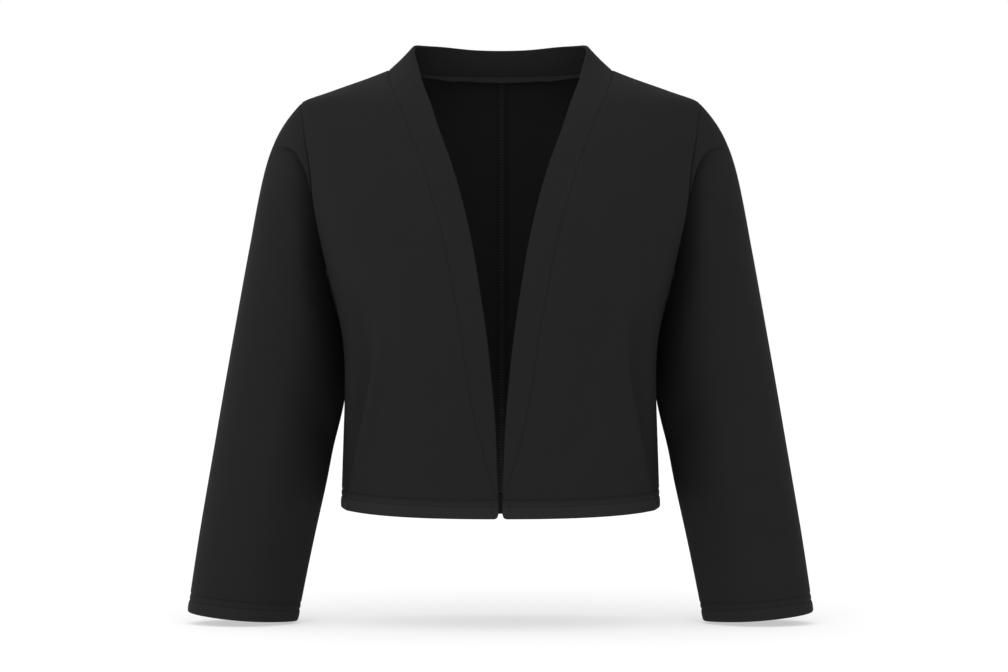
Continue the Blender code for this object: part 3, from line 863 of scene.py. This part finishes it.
def neck_allowance(material):
    """The neck seam's allowance and its outer face: it hangs straight down from the neck's line, shorter
    towards the shoulder by the sine squared of the turn; its top sinks into the band, and its lower edge stands
    off by a power of the drop and waves by sines of the turn."""
    columns, rows = NECK_GRID
    turn = np.linspace(QUARTER_TURN + NECK_STARTS, np.pi, columns)[:, None]
    rise = np.linspace(0, 1, rows)[None]
    seam = -BACK_NECK_DROP * np.cos(turn) ** 2
    wave = sum(height * np.sin(pace * turn + shift) for height, pace, shift in NECK_EDGE_WAVES)
    foot = seam - NECK_ALLOWANCE + NECK_ALLOWANCE_TAPER * np.sin(turn) ** 2 + wave
    height = foot + (seam + NECK_ALLOWANCE_OVER - foot) * rise
    line = body_point(turn, seam)
    wall = np.concatenate([line[..., :2] + 0 * rise[..., None], height[..., None]], axis=-1)
    out_of_band = NECK_ALLOWANCE_LIFT * smooth_step((1 - rise) / NECK_COMES_OUT) - NECK_ALLOWANCE_SUNK
    foot_off = NECK_FOOT_OFF + NECK_FOOT_WAVE[0] * np.sin(NECK_FOOT_WAVE[1] * turn)
    stand_off = out_of_band + foot_off * (1 - rise) ** NECK_FOOT_POWER
    wall = both_halves(wall)
    lift = BAND_THICK + np.concatenate([stand_off, stand_off[-2::-1]])
    grid = wall + lift[..., None] * normals(wall)
    thick = np.full(grid.shape[:2], NECK_ALLOWANCE_THICK)
    nearest = np.minimum(np.minimum(*distances(grid, 0)), np.minimum(*distances(grid, 1)))
    up = distances(grid, 1)[0]
    groove = NECK_GROOVE * bell(up - up[:, [NECK_STITCH_ROW]], GROOVE_WIDTH)
    outer, inner = wall_faces(grid, -groove, thick, nearest)
    return cloth_wall("neck_seam_allowance", outer, inner, material), outer


def back_allowance(name, low, high, lift, material):
    """One layer of the centre-back allowance and its outer face: a flat strip that follows the back's depth
    down to the hem, its edges waving by the product of two sines of the height."""
    rows, columns = BACK_ALLOWANCE_GRID
    above_hem, below_neck = BACK_ALLOWANCE_ENDS
    size, pace, other_pace = BACK_ALLOWANCE_WAVE
    across = (low + (high - low) * slow_ends(columns))[None]
    height = np.linspace(HEM_BACK + HEM_DEPTH + above_hem, -BACK_NECK_DROP - below_neck, rows)[:, None]
    wave = size * np.sin(height * pace) * np.sin(height * other_pace)
    wall = np.stack([across + wave, back_depth(height) + 0 * across, height + 0 * across], axis=-1)
    grid = wall + (CLOTH + BACK_ALLOWANCE_THICK + lift) * normals(wall)
    thick = np.full(grid.shape[:2], BACK_ALLOWANCE_THICK)
    nearest = np.minimum(np.minimum(*distances(grid, 0)), np.minimum(*distances(grid, 1)))
    outer, inner = wall_faces(grid, 0 * thick, thick, nearest)
    return cloth_wall(name, outer, inner, material), outer


def node_maker(tree):
    """A function that adds a node to a tree, with its inputs (values or sockets) and its settings."""

    def node(kind, inputs=(), **settings):
        made = tree.nodes.new(kind)
        for key, value in settings.items():
            setattr(made, key, value)
        for socket, value in dict(inputs).items():
            if isinstance(value, bpy.types.NodeSocket):
                tree.links.new(value, made.inputs[socket])
            else:
                made.inputs[socket].default_value = value
        return made

    return node


def new_material(name):
    """A node material, its shader, its tree and a function that adds a node."""
    material = bpy.data.materials.new(name)
    material.use_nodes = True
    tree = material.node_tree
    return material, tree.nodes["Principled BSDF"], tree, node_maker(tree)


def knit(name):
    """Black double knit: a fine wave of wales and courses on the UV lengths, broken by fibre noise; the ribs'
    tops are a little lighter, broad patches vary faintly, the hem strips and the inside faces are painted
    lighter as painted light, and the fuzz gives a soft sheen."""
    material, shader, tree, node = new_material(name)
    uv = node("ShaderNodeUVMap", uv_map="cloth").outputs["UV"]
    place = node("ShaderNodeTexCoord").outputs["Object"]
    lengths = node("ShaderNodeSeparateXYZ", {0: uv}).outputs

    def wave(length, period, shift):
        turns = node("ShaderNodeMath", {0: length, 1: 2 * np.pi / period, 2: shift}, operation="MULTIPLY_ADD")
        return node("ShaderNodeMath", {0: turns.outputs[0]}, operation="SINE").outputs[0]

    wale = wave(lengths["X"], WALE, 0.0)
    tilt = node("ShaderNodeMath", {0: wale, 1: COURSE_TILT}, operation="MULTIPLY").outputs[0]
    course = wave(lengths["Y"], COURSE, tilt)
    loops = node("ShaderNodeMath", {0: wale, 1: course}, operation="ADD").outputs[0]

    def noise(scale, detail):
        return node("ShaderNodeTexNoise", {"Vector": place, "Scale": scale, "Detail": detail}).outputs["Fac"]

    fibre = noise(FIBRE_SCALE, FIBRE_DETAIL)
    rough = node("ShaderNodeMath", {0: fibre, 1: FIBRE_SHARE, 2: loops}, operation="MULTIPLY_ADD").outputs[0]
    patch = noise(PATCH_SCALE, PATCH_DETAIL)
    mixed = node("ShaderNodeMath", {0: patch, 1: PATCH_SHARE, 2: rough}, operation="MULTIPLY_ADD").outputs[0]
    darkest, lightest = SHADE_RANGE
    shade = node("ShaderNodeMapRange", {"Value": mixed, "From Min": darkest, "From Max": lightest})
    ramp = node("ShaderNodeValToRGB", {"Fac": shade.outputs["Result"]})
    ramp.color_ramp.elements[0].color = KNIT_COLOUR
    ramp.color_ramp.elements[1].color = KNIT_LIGHTER
    # Painted light: the share of the lighter colour on the hem strips and the inside faces
    painted_light = node("ShaderNodeAttribute", attribute_name="painted_light").outputs["Fac"]
    colours = {0: painted_light, 6: ramp.outputs["Color"], 7: HEM_PAINTED_LIGHT_COLOUR}
    colour = node("ShaderNodeMix", colours, data_type="RGBA")
    tree.links.new(colour.outputs[2], shader.inputs["Base Color"])
    smoothest, roughest = KNIT_ROUGHNESS
    dull = node("ShaderNodeMapRange", {"Value": fibre, "To Min": smoothest, "To Max": roughest})
    tree.links.new(dull.outputs["Result"], shader.inputs["Roughness"])
    strength, distance = KNIT_BUMP
    bump = node("ShaderNodeBump", {"Height": rough, "Strength": strength, "Distance": distance})
    tree.links.new(bump.outputs["Normal"], shader.inputs["Normal"])
    shader.inputs["Specular IOR Level"].default_value = KNIT_SHINE
    shader.inputs["Sheen Weight"].default_value = KNIT_SHEEN
    shader.inputs["Sheen Roughness"].default_value = SHEEN_ROUGHNESS
    return material


def thread(name, colours):
    """Sewing thread: twisted strands as a slanting wave on object lengths, duller than the cloth."""
    material, shader, tree, node = new_material(name)
    place = node("ShaderNodeTexCoord").outputs["Object"]
    twist = {"Vector": place, "Scale": STRAND_SCALE, "Distortion": STRAND_DISTORTION}
    strands = node("ShaderNodeTexWave", twist).outputs["Fac"]
    ramp = node("ShaderNodeValToRGB", {"Fac": strands})
    for element, colour in zip(ramp.color_ramp.elements, colours):
        element.color = colour
    tree.links.new(ramp.outputs["Color"], shader.inputs["Base Color"])
    strength, distance = THREAD_BUMP
    bump = node("ShaderNodeBump", {"Height": strands, "Strength": strength, "Distance": distance})
    tree.links.new(bump.outputs["Normal"], shader.inputs["Normal"])
    shader.inputs["Roughness"].default_value = THREAD_ROUGHNESS
    shader.inputs["Specular IOR Level"].default_value = THREAD_SHINE
    return material


def twin_rows(outer, mirror, closed=False, from_end=False):
    """The lines of a face that lie under the twin rows, with their normals."""
    out = normals(outer, closed)
    rows = [np.argmin(np.abs(hem_steps - row)) for row in HEM_ROWS_UP]
    rows = [len(outer) - 1 - row if from_end else row for row in rows]
    flip = np.array((mirror, 1, 1))
    return [(outer[row] * flip, out[row] * flip) for row in rows]


def corner_row(outer, mirror):
    """The short upright line of stitches that closes the front end of the hem."""
    up = distances(outer, 0)[0]
    column = np.argmin(np.abs(distances(outer, 1)[0][len(hem_steps) // 2] - CORNER_ROW_IN))
    rows = (up[:, column] > CORNER_ROW_UP[0]) & (up[:, column] < CORNER_ROW_UP[1])
    flip = np.array((mirror, 1, 1))
    return outer[rows, column] * flip, normals(outer)[rows, column] * flip


def studio_world():
    """White to the eye; as light, a level that grows evenly towards the front, the left and the top, with a
    lobe towards both sides and one towards the front and the back, each a power of that direction's square."""
    world = bpy.data.worlds.new("studio")
    world.use_nodes = True
    tree = world.node_tree
    sky = tree.nodes["Background"]
    node = node_maker(tree)
    towards = node("ShaderNodeTexCoord").outputs["Generated"]
    slope = node("ShaderNodeVectorMath", {0: towards, 1: LIGHT_SLOPE}, operation="DOT_PRODUCT")
    ways = node("ShaderNodeSeparateXYZ", {0: towards}).outputs

    def lobe(way, power, strength, base):
        square = node("ShaderNodeMath", {0: way, 1: way}, operation="MULTIPLY").outputs[0]
        narrow = node("ShaderNodeMath", {0: square, 1: power}, operation="POWER").outputs[0]
        return node("ShaderNodeMath", {0: narrow, 1: strength, 2: base}, operation="MULTIPLY_ADD").outputs[0]

    from_sides = lobe(ways["X"], SIDE_POWER, SIDE_LIGHT, slope.outputs["Value"])
    lit = lobe(ways["Y"], FRONT_POWER, FRONT_LIGHT, from_sides)
    glow = node("ShaderNodeMath", {0: lit, 1: LIGHT_LEVEL}, operation="ADD").outputs[0]
    to_camera = node("ShaderNodeLightPath").outputs["Is Camera Ray"]
    strength = node("ShaderNodeMix", {"Factor": to_camera, "A": glow, "B": 1.0}).outputs[0]
    tree.links.new(strength, sky.inputs["Strength"])
    sky.inputs["Color"].default_value = WHITE
    return world


# Pieces of the jacket
knit_cloth = knit("black_knit")
sewing_thread = thread("black_thread", THREAD_COLOURS)
overlock_thread = thread("overlock_thread", OVERLOCK_COLOURS)
front_grid, front_outer, front_inner = front_panel()
back_grid, back_outer, back_inner = back_panel()
sleeve_outer, sleeve_inner = sleeve_tube()

back_layers = []
for number, (low, high, lift) in enumerate(BACK_ALLOWANCE_LAYERS):
    back_layers.append(back_allowance(f"centre_back_allowance_{number + 1}", low, high, lift, knit_cloth))
top_face = back_layers[-1][1]
overlock = stitches(
    "centre_back_overlock",
    [(top_face.mean(axis=1), normals(top_face)[:, top_face.shape[1] // 2])],
    overlock_thread,
    OVERLOCK_SIZE,
    pitch=OVERLOCK_PITCH,
    ladder=True,
)

# Painted light: how far the hem strips take the lighter colour, half as much on the cuffs
front_painted_light = painted_light_share(distances(front_outer, 0)[0])
back_painted_light = painted_light_share(distances(back_outer, 0)[0])
cuff_painted_light = CUFF_PAINTED_LIGHT_SHARE * painted_light_share(distances(sleeve_outer, 0)[1])
for side, mirror in (("left", 1), ("right", -1)):
    shared = {"material": knit_cloth, "mirror": mirror}
    front = cloth_wall(f"front_{side}_cloth", front_outer, front_inner, painted_light=front_painted_light, **shared)
    back = cloth_wall(f"back_{side}_cloth", back_outer, back_inner, painted_light=back_painted_light, **shared)
    sleeve = cloth_wall(
        f"sleeve_{side}_cloth", sleeve_outer, sleeve_inner, closed=True, painted_light=cuff_painted_light, **shared
    )
    front_rows = twin_rows(front_outer, mirror) + [corner_row(front_outer, mirror)]
    cuff_rows = twin_rows(sleeve_outer, mirror, closed=True, from_end=True)
    front_sewing = stitches(f"front_{side}_hem_stitches", front_rows, sewing_thread)
    back_sewing = stitches(f"back_{side}_hem_stitches", twin_rows(back_outer, mirror), sewing_thread)
    cuff_sewing = stitches(f"cuff_{side}_stitches", cuff_rows, sewing_thread)
    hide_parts(f"front_{side}")
    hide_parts(f"back_{side}")
    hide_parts(f"sleeve_front_{side}", f"sleeve_back_{side}")

band = closed_loft("band_cloth", band_strip(front_grid, back_grid), knit_cloth)
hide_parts("band")
neck_strip, neck_face = neck_allowance(knit_cloth)
# Neck stitches, oversized: partly real stitches, partly painted shade of the seam's ditch
neck_row = [(neck_face[:, NECK_STITCH_ROW], normals(neck_face)[:, NECK_STITCH_ROW])]
neck_stitches_and_shade = stitches(
    "neck_stitches_and_ditch_shade", neck_row, sewing_thread, NECK_STITCH_SIZE, pitch=NECK_STITCH_PITCH
)

# Floor, light and camera
floor_mesh = bpy.data.meshes.new("floor")
floor_corners = [(x * FLOOR_HALF, y * FLOOR_HALF, FLOOR) for x, y in ((-1, -1), (1, -1), (1, 1), (-1, 1))]
floor_mesh.from_pydata(floor_corners, [], [(0, 1, 2, 3)])
floor = bpy.data.objects.new("floor", floor_mesh)
bpy.context.scene.collection.objects.link(floor)
pale, pale_shader, _, _ = new_material("pale_floor")
pale_shader.inputs["Base Color"].default_value = FLOOR_COLOUR
pale_shader.inputs["Emission Color"].default_value = WHITE
pale_shader.inputs["Emission Strength"].default_value = FLOOR_GLOW
pale_shader.inputs["Roughness"].default_value = FLOOR_ROUGHNESS
pale_shader.inputs["Specular IOR Level"].default_value = 0.0
floor_mesh.materials.append(pale)

bpy.context.scene.world = studio_world()
bpy.context.scene.view_settings.view_transform = "Standard"

camera_data = bpy.data.cameras.new("camera")
camera_data.sensor_width = SENSOR
camera_data.lens = SENSOR * CAMERA_DISTANCE / (PIXEL * PHOTO_WIDTH)
camera = bpy.data.objects.new("camera", camera_data)
camera.location = ((PHOTO_WIDTH / 2 - MIDDLE_COLUMN) * PIXEL, -CAMERA_DISTANCE, CAMERA_HEIGHT)
camera.rotation_euler = (np.pi / 2, 0, 0)
bpy.context.scene.collection.objects.link(camera)
bpy.context.scene.camera = camera
